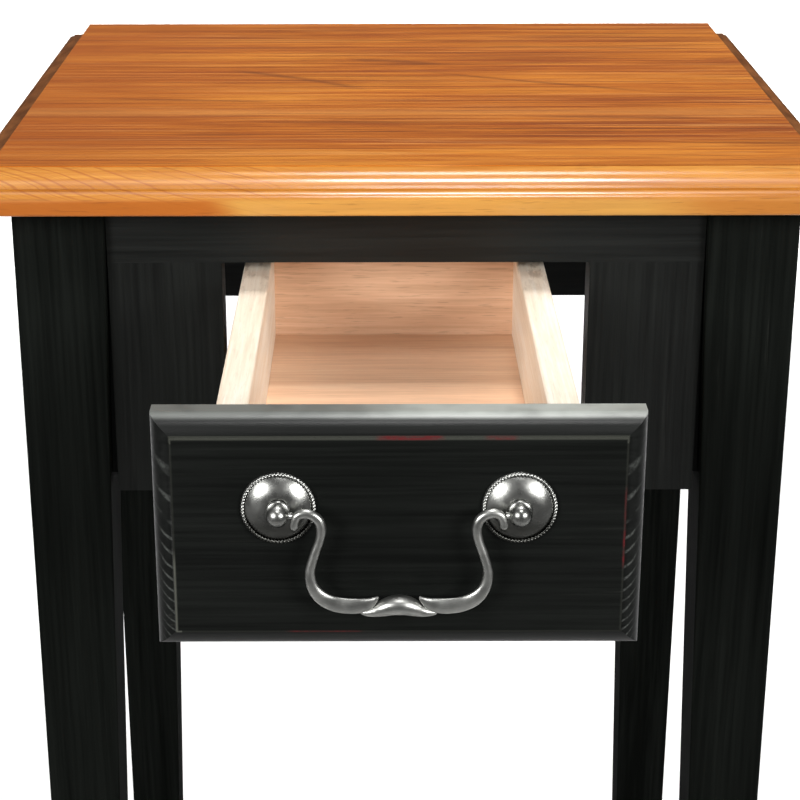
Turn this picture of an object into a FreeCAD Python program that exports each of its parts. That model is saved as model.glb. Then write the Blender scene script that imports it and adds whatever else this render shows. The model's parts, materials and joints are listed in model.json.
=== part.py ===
import FreeCAD, Part
import math
import os

# Side table with one drawer: tapered legs, moulded board top, wood-run drawer with a bail pull.
# Millimetres, +Z up. Origin on the floor under the middle of the top; the drawer opens along -Y.
# Rest pose: drawer drawn out by DRAWER_OPEN, bail hanging, drawer stop upright.

os.makedirs("parts", exist_ok=True)
Vector = FreeCAD.Vector
X_AXIS = Vector(1, 0, 0)
Y_AXIS = Vector(0, 1, 0)
Z_AXIS = Vector(0, 0, 1)
SIDES = (("left", -1), ("right", 1))
ENDS = (("front", -1), ("rear", 1))

# Overall sizes and clearances
TABLE_HEIGHT = 610.0
TOP_SIDE = 386.0
TOP_THICK = 18.5
OVERHANG = 21.55
GAP = 0.2              # clearance round a glued tenon or in a screw hole
EASE = 1.0             # rounding of handled arrises

# Moulding of the top's edge, from the surface down
EDGE_STEP = 0.5
EDGE_COVE_WIDE = 10.0
EDGE_COVE_DEEP = 7.1
EDGE_QUIRK = 0.8
EDGE_ROUND_R = 4.6
EDGE_LAND = 0.4
EDGE_BOTTOM_R = 1.2
TOP_SWEEP_EXTRA = 20.0
BOARD_JOINTS = (-127.0, -77.0, 4.0, 84.0)

# Legs and foot glides
LEG_TOP = 40.2
LEG_FOOT = 27.0
GLIDE_R = 9.0
GLIDE_THICK = 3.0
GLIDE_NAIL_R = 1.6
GLIDE_NAIL_LENGTH = 18.0

# Aprons and front frame
APRON_THICK = 19.0
APRON_HEIGHT = 134.8
APRON_RECESS = 5.0
TENON_THICK = 8.0
TENON_DEPTH = 13.0
TENON_SHOULDER = 7.0
TOP_RAIL_HEIGHT = 27.3
BOTTOM_RAIL_HEIGHT = 26.3
OPENING_WIDTH = 162.0
STILE_TENON_WIDTH = 30.0
STILE_TENON_LENGTH = 9.0
BOTTOM_TENON_SHOULDER = 5.0

# Corner blocks and the screws that hold them and the top
BLOCK_THICK = 20.0
BLOCK_HEIGHT = 40.0
BLOCK_SCREW_INSETS = (11.0, 29.0)
BLOCK_SCREW_LENGTH = 42.0
BLOCK_CLEARANCE = 0.2
TOP_SCREW_LENGTH = 44.0
TOP_SCREW_ASIDE = 12.5
KICKER_SCREW_LENGTH = 33.0
SCREW_R = 2.1
SCREW_HEAD_R = 4.2
SCREW_HEAD_THICK = 2.6
SCREW_TIP_R = 0.4
SCREW_SLOT_WIDTH = 1.0
SCREW_SLOT_DEPTH = 1.2
COUNTERBORE = 8.0

# Drawer, which lies with its runners a little to the left of the table's middle
DRAWER_OPEN = 199.95
DRAWER_ASIDE = -5.0
FRONT_WIDTH = 175.5
FRONT_HEIGHT = 89.0
FRONT_THICK = 16.0
FRONT_BOTTOM_Z = 479.0
FRONT_ROUND_R = 7.2
FRONT_STEP = 1.6
FRONT_SWEEP = 200.0      # longer than the front either way, before both sweeps are crossed
BOX_WIDTH = 133.5
BOX_LENGTH = 250.0
BOX_BOTTOM_Z = 500.0
BOX_TOP_Z = 560.0
BOX_BOARD = 12.0
PANEL_THICK = 5.0
PANEL_TOP_Z = 519.0
GROOVE_DEPTH = 5.0
FRONT_SCREW_X = 18.0
FRONT_SCREW_Z = 535.0
FRONT_SCREW_LENGTH = 24.0
BRAD_R = 0.9
BRAD_LENGTH = 22.0
BRAD_X = (-36.0, 0.0, 36.0)

# Runners under the drawer sides and kickers over them
RUNNER_INNER_X = 54.0
RUNNER_OUTER_X = 77.0
LIP_THICK = 7.5
RUNNER_HEIGHT = 30.0
RUNNER_LIP = 12.0
RUNNER_CLEARANCE = 0.3
KICKER_CLEARANCE = 1.0
KICKER_LIP = 5.0
KICKER_CHAMFER = 14.0
RUNNER_TENON = 9.0
RUNNER_TENON_SIDE = 5.0
RUNNER_TENON_BELOW = 2.0
RUNNER_TENON_ABOVE = 3.0
KICKER_SCREW_Y = (-100.0, 100.0)

# Drawer stop, a turn button on the drawer's back
STOP_WIDTH = 18.0
STOP_HEIGHT = 36.0
STOP_THICK = 10.0
STOP_PIVOT_Z = 549.0
STOP_TAIL = 8.0
STOP_SCREW_LENGTH = 20.0
STOP_CORNER_R = 4.0

# Bail pull
PULL_SPACING = 85.5
PULL_Z = 535.0
ROSETTE_R = 13.6
ROPE_R = 0.95
DOME_R = 11.2
DOME_HEIGHT = 4.2
DOME_FOOT = 1.0
DOME_SHOULDER_R = 8.3
DOME_SHOULDER = 3.1
STEM_R = 3.2
COLLAR_R = 4.1
COLLAR_THICK = 1.2
COLLAR_LIFT = 0.1        # the collar stands this clear of the dome's top
BALL_R = 4.2
BALL_REACH = 8.2
PIN_R = 1.2
PIN_BORE_R = 1.27
PIN_START = 0.8
PIN_BORE_START = 0.4
WIRE_R = 1.4
LEAF_THICK = 2.6
GRIP_R = 3.7
GRIP_LENGTH = 21.0
GRIP_END_R = 1.2
PULL_SCREW_R = 1.95
PULL_SCREW_HOLE_R = 2.3
PULL_THREAD = 5.0
PULL_SCREW_HEAD_R = 4.0
PULL_SCREW_HEAD_THICK = 2.4
PULL_SCREW_SHORT = 0.5   # the screw ends this far before its thread does
BORE_EASE = 0.05         # a hole's radius over what fills it, in the pull
ROUTE_ARC_SHARE = 0.49   # how much of the shorter run each of the bail's arcs takes
# Half of the bail from its curled end to the leaf's tip: out from the ball's centre, and up
BAIL_ROUTE = (
    (5.9, -4.8), (5.8, 1.7), (15.0, 1.9), (16.4, -6.4), (11.0, -20.5),
    (11.6, -31.0), (18.5, -35.6), (29.5, -35.4), (34.6, -32.0),
)
LEAF_START = (12.6, -29.0)
LEAF_UPPER = (24.0, -32.6)
LEAF_TIP = (35.2, -31.4)
LEAF_LOWER = (24.5, -37.9)
GRIP_ROUTE = ((29.0, -36.2), (33.4, -37.8), (37.5, -35.2), (41.0, -34.6))
GRIP_Z = -34.6

# Worked out from the above
TOP_Z = TABLE_HEIGHT - TOP_THICK
HALF_TOP = TOP_SIDE / 2
LEG_OUTER = HALF_TOP - OVERHANG
LEG_INNER = LEG_OUTER - LEG_TOP
APRON_OUTER = LEG_OUTER - APRON_RECESS
APRON_INNER = APRON_OUTER - APRON_THICK
APRON_MID = APRON_OUTER - APRON_THICK / 2
APRON_Z = TOP_Z - APRON_HEIGHT
TOP_RAIL_Z = TOP_Z - TOP_RAIL_HEIGHT
BOTTOM_RAIL_TOP = APRON_Z + BOTTOM_RAIL_HEIGHT
HALF_OPENING = OPENING_WIDTH / 2
HALF_TENON = TENON_THICK / 2
FRONT_BACK_Y = -APRON_OUTER - DRAWER_OPEN
FRONT_FACE_Y = FRONT_BACK_Y - FRONT_THICK
BOX_REAR_Y = FRONT_BACK_Y + BOX_LENGTH
BOX_OUTER = BOX_WIDTH / 2
BOX_INNER = BOX_OUTER - BOX_BOARD
PANEL_Z = PANEL_TOP_Z - PANEL_THICK
SUB_FRONT_REAR_Y = FRONT_BACK_Y + BOX_BOARD
HALF_PULL = PULL_SPACING / 2
PIVOT_Y = FRONT_FACE_Y - BALL_REACH


def save(name, *solids):
    """Write one node; several solids are identical pieces that share it."""
    shape = solids[0] if len(solids) == 1 else Part.makeCompound(list(solids))
    shape.exportStep("parts/" + name + ".step")


def aside(shape):
    """Carry a shape drawn about the table's middle over to the drawer's middle."""
    return shape.translated(X_AXIS * DRAWER_ASIDE)


def save_in_drawer(name, *solids):
    """Write a node of the drawer, drawn about the table's middle."""
    save(name, *[aside(solid) for solid in solids])


def block(x_span, y_span, z_span):
    """A box between two X, two Y and two Z values, in either order."""
    low = Vector(min(x_span), min(y_span), min(z_span))
    high = Vector(max(x_span), max(y_span), max(z_span))
    return Part.makeBox(high.x - low.x, high.y - low.y, high.z - low.z, low)


def rod(start, direction, radius, length):
    """A cylinder from start along direction."""
    return Part.makeCylinder(radius, length, start, direction)


def mirror_x(shape, side):
    """The shape itself on the right side, its mirror image on the left."""
    return shape.mirror(Vector(0, 0, 0), X_AXIS) if side < 0 else shape


def mirror_y(shape, end):
    """The shape itself at the rear end, its mirror image at the front."""
    return shape.mirror(Vector(0, 0, 0), Y_AXIS) if end < 0 else shape


def line(start, end):
    return Part.LineSegment(start, end).toShape()


def arc(start, through, end):
    return Part.Arc(start, through, end).toShape()


def quarter(start, end, centre):
    """A quarter circle from start to end about centre."""
    middle = (start + end) * 0.5 - centre
    radius = (start - centre).Length
    return arc(start, centre + middle.normalize() * radius, end)


def extrude(edges, direction):
    return Part.Face(Part.Wire(edges)).extrude(direction)


def ease_edges(shape, direction, radius):
    """Round the straight edges that run roughly along direction."""
    chosen = []
    for edge in shape.Edges:
        run = edge.Vertexes[-1].Point - edge.Vertexes[0].Point
        if run.Length > 1.0 and abs(run.normalize().dot(direction)) > 0.99:
            chosen.append(edge)
    return shape.makeFillet(radius, chosen)


def screw(start, direction, length):
    """A flat-headed wood screw: head at start, shank along direction, short cone tip."""
    tip = SCREW_R * 2
    shank = rod(start, direction, SCREW_R, length - tip)
    point = Part.makeCone(SCREW_R, SCREW_TIP_R, tip, start + direction * (length - tip), direction)
    head = rod(start - direction * SCREW_HEAD_THICK, direction, SCREW_HEAD_R, SCREW_HEAD_THICK)
    slot_corner = Vector(-SCREW_HEAD_R, -SCREW_SLOT_WIDTH / 2, -SCREW_HEAD_THICK)
    slot = Part.makeBox(SCREW_HEAD_R * 2, SCREW_SLOT_WIDTH, SCREW_SLOT_DEPTH, slot_corner)
    slot.Placement = FreeCAD.Placement(start, FreeCAD.Rotation(Z_AXIS, direction))
    return head.fuse([shank, point]).removeSplitter().cut(slot)


def screw_space(start, direction, length):
    """The hole for a screw, with room for its head."""
    shank = rod(start, direction, SCREW_R + GAP / 4, length + GAP)
    head = rod(start - direction * COUNTERBORE, direction, SCREW_HEAD_R + GAP, COUNTERBORE)
    return shank.fuse(head)


# ---- table top ----

def top_edge_outline(along, across, length):
    """Closed section of the top, with the moulding on both sides, swept along one axis."""
    def at(offset, depth):
        return across * offset + Z_AXIS * (TABLE_HEIGHT - depth) - along * (length / 2)

    cove_foot = EDGE_STEP + EDGE_COVE_DEEP
    round_top = cove_foot + EDGE_QUIRK
    round_foot = round_top + EDGE_ROUND_R
    cove_x = HALF_TOP - EDGE_ROUND_R - EDGE_LAND
    half_flat = cove_x - EDGE_COVE_WIDE
    cove_r = (EDGE_COVE_WIDE ** 2 + EDGE_COVE_DEEP ** 2) / (2 * EDGE_COVE_DEEP)
    half_turn = math.asin(EDGE_COVE_WIDE / cove_r) / 2
    cove_middle_x = cove_x - cove_r * math.sin(half_turn)
    cove_middle = cove_foot - cove_r * (1 - math.cos(half_turn))
    edges = []
    for sign in (-1, 1):
        ring = [
            at(sign * (HALF_TOP - EDGE_BOTTOM_R), TOP_THICK),
            at(sign * HALF_TOP, TOP_THICK - EDGE_BOTTOM_R),
            at(sign * HALF_TOP, round_foot),
            at(sign * (HALF_TOP - EDGE_ROUND_R), round_top),
            at(sign * (HALF_TOP - EDGE_ROUND_R), cove_foot),
            at(sign * cove_x, cove_foot),
            at(sign * half_flat, EDGE_STEP),
            at(sign * half_flat, 0),
        ]
        bottom_centre = at(sign * (HALF_TOP - EDGE_BOTTOM_R), TOP_THICK - EDGE_BOTTOM_R)
        edges.append(quarter(ring[0], ring[1], bottom_centre))
        edges.append(line(ring[1], ring[2]))
        edges.append(quarter(ring[2], ring[3], at(sign * (HALF_TOP - EDGE_ROUND_R), round_foot)))
        edges.append(line(ring[3], ring[4]))
        edges.append(line(ring[4], ring[5]))
        edges.append(arc(ring[5], at(sign * cove_middle_x, cove_middle), ring[6]))
        edges.append(line(ring[6], ring[7]))
    edges.append(line(at(-half_flat, 0), at(half_flat, 0)))
    half_bottom = HALF_TOP - EDGE_BOTTOM_R
    edges.append(line(at(-half_bottom, TOP_THICK), at(half_bottom, TOP_THICK)))
    return Part.Wire(Part.__sortEdges__(edges))


def moulded_top():
    """The whole top: the edge section swept both ways, and what the two sweeps share."""
    length = TOP_SIDE + TOP_SWEEP_EXTRA
    along_x = Part.Face(top_edge_outline(X_AXIS, Y_AXIS, length)).extrude(X_AXIS * length)
    along_y = Part.Face(top_edge_outline(Y_AXIS, X_AXIS, length)).extrude(Y_AXIS * length)
    return along_x.common(along_y)


def make_top_boards():
    block_spaces = joined_spaces(TOP_SCREWS, TOP_SCREW_LENGTH)
    kicker_spaces = joined_spaces(KICKER_SCREWS, KICKER_SCREW_LENGTH)
    top = moulded_top().cut([block_spaces, kicker_spaces])
    limits = (-HALF_TOP - 1,) + BOARD_JOINTS + (HALF_TOP + 1,)
    for number, (y_low, y_high) in enumerate(zip(limits, limits[1:]), start=1):
        strip = block((-HALF_TOP - 1, HALF_TOP + 1), (y_low, y_high), (TOP_Z - 1, TABLE_HEIGHT + 1))
        save("top_board_%d" % number, top.common(strip).Solids[0])


# ---- screws into blocks, legs and top ----

def corner_screw_places():
    """Start and direction of the screws through each corner block into its leg."""
    inset = LEG_INNER - BLOCK_THICK / math.sqrt(2)
    places = []
    for x_sign in (-1, 1):
        for y_sign in (-1, 1):
            direction = Vector(x_sign, y_sign, 0).normalize()
            for drop in BLOCK_SCREW_INSETS:
                places.append((Vector(x_sign * inset, y_sign * inset, TOP_Z - drop), direction))
    return places


def top_screw_places():
    """Start and direction of the screws up through the corner blocks and kickers."""
    half_bar = BLOCK_THICK / 2 / math.sqrt(2)
    mid = LEG_INNER - half_bar
    places = []
    for x_sign in (-1, 1):
        for y_sign in (-1, 1):
            for shift in (-TOP_SCREW_ASIDE, TOP_SCREW_ASIDE):
                place = Vector(x_sign * (mid + shift), y_sign * (mid - shift), TOP_Z - BLOCK_HEIGHT)
                places.append(place + Z_AXIS * COUNTERBORE)
    return [(place, Z_AXIS) for place in places]


def kicker_screw_places():
    middle_x = (RUNNER_INNER_X + RUNNER_OUTER_X - LIP_THICK) / 2
    start_z = BOX_TOP_Z + KICKER_CLEARANCE + COUNTERBORE
    xs = [DRAWER_ASIDE + side * middle_x for _, side in SIDES]
    return [(Vector(x, y, start_z), Z_AXIS) for x in xs for y in KICKER_SCREW_Y]


def joined_spaces(places, length):
    spaces = [screw_space(start, direction, length) for start, direction in places]
    return Part.makeCompound(spaces)


TOP_SCREWS = top_screw_places()
KICKER_SCREWS = kicker_screw_places()
CORNER_SCREWS = corner_screw_places()


# ---- legs, aprons and front frame ----

def leg_blank():
    """The rear right leg: outer faces upright, the two inner faces tapering to the foot."""
    rings = []
    for z, width in ((GLIDE_THICK, LEG_FOOT), (TOP_Z, LEG_TOP)):
        inner = LEG_OUTER - width
        corners = (
            Vector(inner, inner, z), Vector(LEG_OUTER, inner, z),
            Vector(LEG_OUTER, LEG_OUTER, z), Vector(inner, LEG_OUTER, z),
        )
        rings.append(Part.makePolygon(corners + corners[:1]))
    return ease_edges(Part.makeLoft(rings, True, True), Z_AXIS, EASE)


def rail_tenon(z_low, z_high, extra):
    """A tenon that enters the rear right leg from an apron or rail along X."""
    return block(
        (LEG_INNER - 1, LEG_INNER + TENON_DEPTH + extra),
        (APRON_MID - HALF_TENON - extra, APRON_MID + HALF_TENON + extra),
        (z_low - extra, z_high + extra),
    )


def side_tenon(z_low, z_high, extra):
    """The same along Y, from a side apron."""
    return block(
        (APRON_MID - HALF_TENON - extra, APRON_MID + HALF_TENON + extra),
        (LEG_INNER - 1, LEG_INNER + TENON_DEPTH + extra),
        (z_low - extra, z_high + extra),
    )


APRON_TENON = (APRON_Z + TENON_SHOULDER, TOP_Z - TENON_SHOULDER)
TOP_RAIL_TENON = (TOP_RAIL_Z + TENON_SHOULDER / 2, TOP_Z - TENON_SHOULDER)
STILE_TENON = (APRON_Z + TENON_SHOULDER, TOP_RAIL_Z - TENON_SHOULDER)


def glide_middle():
    return LEG_OUTER - LEG_FOOT / 2


def make_legs():
    for end_name, end in ENDS:
        if end < 0:
            mortises = [rail_tenon(*TOP_RAIL_TENON, GAP), rail_tenon(*STILE_TENON, GAP)]
        else:
            mortises = [rail_tenon(*APRON_TENON, GAP)]
        mortises.append(side_tenon(*APRON_TENON, GAP))
        middle = glide_middle()
        nail_hole = rod(Vector(middle, middle, 0), Z_AXIS, GLIDE_NAIL_R + GAP / 4, GLIDE_NAIL_LENGTH + 1)
        blank = leg_blank().cut(mortises + [nail_hole])
        for side_name, side in SIDES:
            leg = mirror_x(mirror_y(blank, end), side)
            leg = leg.cut(joined_spaces(CORNER_SCREWS, BLOCK_SCREW_LENGTH))
            save("%s_%s_leg" % (end_name, side_name), leg.Solids[0])


def make_foot_glides():
    middle = glide_middle()
    for end_name, end in ENDS:
        for side_name, side in SIDES:
            base = Vector(side * middle, end * middle, 0)
            disc = rod(base, Z_AXIS, GLIDE_R, GLIDE_THICK)
            disc = disc.makeFillet(EASE, [disc.Edges[2]])
            nail = rod(base + Z_AXIS * (GLIDE_THICK / 2), Z_AXIS, GLIDE_NAIL_R, GLIDE_NAIL_LENGTH - 2)
            save("%s_%s_foot_glide" % (end_name, side_name), disc.fuse(nail).removeSplitter())


def make_side_aprons():
    for side_name, side in SIDES:
        board = block((APRON_INNER, APRON_OUTER), (-LEG_INNER, LEG_INNER), (APRON_Z, TOP_Z))
        tenon = side_tenon(*APRON_TENON, 0)
        apron = board.fuse([tenon, mirror_y(tenon, -1)]).removeSplitter()
        save("%s_side_apron" % side_name, mirror_x(apron, side))


def make_rear_apron():
    board = block((-LEG_INNER, LEG_INNER), (APRON_INNER, APRON_OUTER), (APRON_Z, TOP_Z))
    tenon = rail_tenon(*APRON_TENON, 0)
    apron = board.fuse([tenon, mirror_x(tenon, -1)]).removeSplitter()
    for _, side in SIDES:
        apron = apron.cut(runner_tenon(1, side, GAP))
    save("rear_apron", apron)


def stile_top_tenon(side, extra):
    """The small tenon by which a stile enters the top rail from below."""
    middle = side * (HALF_OPENING + LEG_INNER) / 2
    return block(
        (middle - STILE_TENON_WIDTH / 2 - extra, middle + STILE_TENON_WIDTH / 2 + extra),
        (-APRON_MID - HALF_TENON - extra, -APRON_MID + HALF_TENON + extra),
        (TOP_RAIL_Z - 1, TOP_RAIL_Z + STILE_TENON_LENGTH + extra),
    )


def bottom_rail_tenon(side, extra):
    """The tenon by which the bottom rail enters a stile."""
    return block(
        (side * (HALF_OPENING - 1), side * (HALF_OPENING + TENON_DEPTH + extra)),
        (-APRON_MID - HALF_TENON - extra, -APRON_MID + HALF_TENON + extra),
        (APRON_Z + BOTTOM_TENON_SHOULDER - extra, BOTTOM_RAIL_TOP - BOTTOM_TENON_SHOULDER + extra),
    )


def make_front_frame():
    depth = (-APRON_OUTER, -APRON_INNER)
    top_rail = block((-LEG_INNER, LEG_INNER), depth, (TOP_RAIL_Z, TOP_Z))
    bottom_rail = block((-HALF_OPENING, HALF_OPENING), depth, (APRON_Z, BOTTOM_RAIL_TOP))
    top_tenon = mirror_y(rail_tenon(*TOP_RAIL_TENON, 0), -1)
    stile_tenon = mirror_y(rail_tenon(*STILE_TENON, 0), -1)
    for side_name, side in SIDES:
        top_rail = top_rail.fuse(mirror_x(top_tenon, side)).cut(stile_top_tenon(side, GAP))
        bottom_rail = bottom_rail.fuse(bottom_rail_tenon(side, 0)).cut(runner_tenon(-1, side, GAP))
        stile = block((side * HALF_OPENING, side * LEG_INNER), depth, (APRON_Z, TOP_RAIL_Z))
        stile = stile.fuse([mirror_x(stile_tenon, side), stile_top_tenon(side, 0)])
        stile = stile.cut(bottom_rail_tenon(side, GAP)).removeSplitter()
        save("front_%s_stile" % side_name, stile)
    save("front_top_rail", top_rail.removeSplitter())
    save("front_bottom_rail", bottom_rail.removeSplitter())


def make_corner_blocks():
    """Diagonal bars from apron to apron, against each leg's inner arris."""
    far = 2 * LEG_INNER - BLOCK_CLEARANCE
    near = far - BLOCK_THICK * math.sqrt(2)
    side_face = APRON_INNER
    corners = (
        Vector(side_face, near - side_face, TOP_Z), Vector(side_face, far - side_face, TOP_Z),
        Vector(far - side_face, side_face, TOP_Z), Vector(near - side_face, side_face, TOP_Z),
    )
    bar = Part.Face(Part.makePolygon(corners + corners[:1])).extrude(Z_AXIS * -BLOCK_HEIGHT)
    for end_name, end in ENDS:
        for side_name, side in SIDES:
            piece = mirror_x(mirror_y(bar, end), side)
            piece = piece.cut(joined_spaces(CORNER_SCREWS, BLOCK_SCREW_LENGTH))
            piece = piece.cut(joined_spaces(TOP_SCREWS, TOP_SCREW_LENGTH))
            save("%s_%s_corner_block" % (end_name, side_name), piece.Solids[0])


def make_frame_screws():
    save("corner_block_screws", *[screw(*place, BLOCK_SCREW_LENGTH) for place in CORNER_SCREWS])
    save("top_screws", *[screw(*place, TOP_SCREW_LENGTH) for place in TOP_SCREWS])
    save("kicker_screws", *[screw(*place, KICKER_SCREW_LENGTH) for place in KICKER_SCREWS])


# ---- what the drawer runs on ----

def runner_tenon(end, side, extra):
    """The stub tenon at one end of a runner, into the bottom rail or the rear apron."""
    low = BOX_BOTTOM_Z - RUNNER_CLEARANCE - RUNNER_HEIGHT + RUNNER_TENON_BELOW
    inner_x = RUNNER_INNER_X + RUNNER_TENON_SIDE - extra
    outer_x = RUNNER_OUTER_X - RUNNER_TENON_SIDE + extra
    return aside(block(
        (side * inner_x, side * outer_x),
        (end * (APRON_INNER - 1), end * (APRON_INNER + RUNNER_TENON + extra)),
        (low - extra, BOTTOM_RAIL_TOP - RUNNER_TENON_ABOVE + extra),
    ))


def make_runners():
    top = BOX_BOTTOM_Z - RUNNER_CLEARANCE
    for side_name, side in SIDES:
        span = (side * RUNNER_INNER_X, side * RUNNER_OUTER_X)
        length = (-APRON_INNER, APRON_INNER)
        body = block(span, length, (top - RUNNER_HEIGHT, top))
        lip_span = (side * (RUNNER_OUTER_X - LIP_THICK), side * RUNNER_OUTER_X)
        lip = block(lip_span, length, (top - 1, top + RUNNER_LIP))
        tenons = [runner_tenon(end, side, 0) for _, end in ENDS]
        save("%s_drawer_runner" % side_name, aside(body.fuse(lip)).fuse(tenons).removeSplitter())


def make_kickers():
    bottom = BOX_TOP_Z + KICKER_CLEARANCE
    for side_name, side in SIDES:
        length = (-APRON_INNER, APRON_INNER)
        body = block((side * RUNNER_INNER_X, side * RUNNER_OUTER_X), length, (bottom, TOP_Z))
        lip_inner = side * (RUNNER_OUTER_X - LIP_THICK)
        lip = block((lip_inner, side * RUNNER_OUTER_X), length, (bottom - KICKER_LIP, bottom + 1))
        corner = (
            Vector(lip_inner, -APRON_INNER, bottom - KICKER_LIP),
            Vector(lip_inner, -APRON_INNER, bottom),
            Vector(lip_inner, KICKER_CHAMFER - APRON_INNER, bottom - KICKER_LIP),
        )
        chamfer = Part.Face(Part.makePolygon(corner + corner[:1]))
        chamfer = chamfer.extrude(X_AXIS * (side * LIP_THICK))
        kicker = aside(body.fuse(lip).removeSplitter().cut(chamfer))
        kicker = kicker.cut(joined_spaces(KICKER_SCREWS, KICKER_SCREW_LENGTH))
        save("%s_drawer_kicker" % side_name, kicker.Solids[0])


# ---- drawer ----

def front_sweep(across, middle, half, along):
    """The drawer front's section - square edge, roundover, step up to the face - swept both ways along."""
    start = middle - along * (FRONT_SWEEP / 2)

    def at(offset, depth):
        return start + across * offset - Y_AXIS * depth

    inner = half - FRONT_ROUND_R
    round_foot = FRONT_THICK - FRONT_STEP
    edge_depth = round_foot - FRONT_ROUND_R
    edges = [line(at(-inner, FRONT_THICK), at(inner, FRONT_THICK)), line(at(-half, 0), at(half, 0))]
    for sign in (-1, 1):
        edge = at(sign * half, edge_depth)
        foot = at(sign * inner, round_foot)
        edges.append(line(at(sign * half, 0), edge))
        edges.append(quarter(edge, foot, at(sign * inner, edge_depth)))
        edges.append(line(foot, at(sign * inner, FRONT_THICK)))
    return Part.Face(Part.Wire(Part.__sortEdges__(edges))).extrude(along * FRONT_SWEEP)


def pull_screw_places():
    start_y = SUB_FRONT_REAR_Y
    return [(Vector(side * HALF_PULL, start_y, PULL_Z), Y_AXIS * -1) for _, side in SIDES]


def pull_screw_holes():
    length = BOX_BOARD + FRONT_THICK + 1
    return [rod(start, way, PULL_SCREW_HOLE_R, length) for start, way in pull_screw_places()]


def front_screw_places():
    """Screws from inside the box into the overlay front, between the pull's own screws."""
    x = FRONT_SCREW_X
    return [(Vector(side * x, SUB_FRONT_REAR_Y, FRONT_SCREW_Z), Y_AXIS * -1) for _, side in SIDES]


def make_drawer_front():
    middle = Vector(0, FRONT_BACK_Y, FRONT_BOTTOM_Z + FRONT_HEIGHT / 2)
    upright = front_sweep(X_AXIS, middle, FRONT_WIDTH / 2, Z_AXIS)
    level = front_sweep(Z_AXIS, middle, FRONT_HEIGHT / 2, X_AXIS)
    front = upright.common(level)
    front_spaces = joined_spaces(front_screw_places(), FRONT_SCREW_LENGTH)
    save_in_drawer("drawer_front", front.cut(pull_screw_holes() + [front_spaces]).Solids[0])


def bottom_panel(extra):
    """The drawer's bottom, in grooves of the sides and the inner front, under the back."""
    return block(
        (-BOX_INNER - GROOVE_DEPTH - extra, BOX_INNER + GROOVE_DEPTH + extra),
        (SUB_FRONT_REAR_Y - GROOVE_DEPTH - extra, BOX_REAR_Y + extra),
        (PANEL_Z - extra, PANEL_TOP_Z + extra),
    )


def make_drawer_box():
    height = (BOX_BOTTOM_Z, BOX_TOP_Z)
    length = (FRONT_BACK_Y, BOX_REAR_Y)
    groove = bottom_panel(GAP / 2)
    for side_name, side in SIDES:
        board = block((side * BOX_INNER, side * BOX_OUTER), length, height)
        board = ease_edges(board, Y_AXIS, EASE)
        save_in_drawer("drawer_%s_side" % side_name, board.cut(groove).Solids[0])
    inner_front = block((-BOX_INNER, BOX_INNER), (FRONT_BACK_Y, SUB_FRONT_REAR_Y), height)
    screws = joined_spaces(front_screw_places(), FRONT_SCREW_LENGTH)
    inner_front = inner_front.cut([groove, screws] + pull_screw_holes())
    save_in_drawer("drawer_inner_front", inner_front.Solids[0])
    back_depth = (BOX_REAR_Y - BOX_BOARD, BOX_REAR_Y)
    back = block((-BOX_INNER, BOX_INNER), back_depth, (PANEL_TOP_Z + GAP / 2, BOX_TOP_Z))
    pilot = rod(Vector(0, BOX_REAR_Y + 1, STOP_PIVOT_Z), Y_AXIS * -1, SCREW_R + GAP / 4, BOX_BOARD)
    save_in_drawer("drawer_back", back.cut([pilot] + brad_rods(GAP / 4)).Solids[0])
    save_in_drawer("drawer_bottom", bottom_panel(0).cut(brad_rods(GAP / 4)).Solids[0])


def brad_rods(extra):
    """Brads up through the bottom into the drawer's back."""
    return [
        rod(Vector(x, BOX_REAR_Y - BOX_BOARD / 2, PANEL_Z), Z_AXIS, BRAD_R + extra, BRAD_LENGTH)
        for x in BRAD_X
    ]


def make_drawer_fasteners():
    screws = [screw(start, way, FRONT_SCREW_LENGTH) for start, way in front_screw_places()]
    save_in_drawer("drawer_front_screws", *screws)
    save_in_drawer("drawer_bottom_brads", *brad_rods(0))


def make_drawer_stop():
    """A turn button: upright it meets the top rail's back, turned level it lets the drawer out."""
    half = STOP_WIDTH / 2
    near = BOX_REAR_Y + GAP
    low = STOP_PIVOT_Z - STOP_TAIL
    button = block((-half, half), (near, near + STOP_THICK), (low, low + STOP_HEIGHT))
    button = ease_edges(button, Y_AXIS, STOP_CORNER_R)
    hole = rod(Vector(0, near - 1, STOP_PIVOT_Z), Y_AXIS, SCREW_R + GAP / 2, STOP_THICK + 2)
    save_in_drawer("drawer_stop", button.cut(hole))
    start = Vector(0, near + STOP_THICK + GAP, STOP_PIVOT_Z)
    save_in_drawer("drawer_stop_screw", screw(start, Y_AXIS * -1, STOP_SCREW_LENGTH))


# ---- pull ----

def pull_point(side, inward, up, reach=BALL_REACH):
    """A point on the pull: inward from a ball's centre, up from it, and out from the face."""
    return Vector(side * (HALF_PULL - inward), FRONT_FACE_Y - reach, PULL_Z + up)


def turned(points_edges, side):
    """Turn a section, drawn as radius and reach, about a rosette's axis."""
    face = Part.Face(Part.Wire(points_edges))
    return face.revolve(Vector(side * HALF_PULL, 0, PULL_Z), Y_AXIS * -1, 360)


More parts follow.
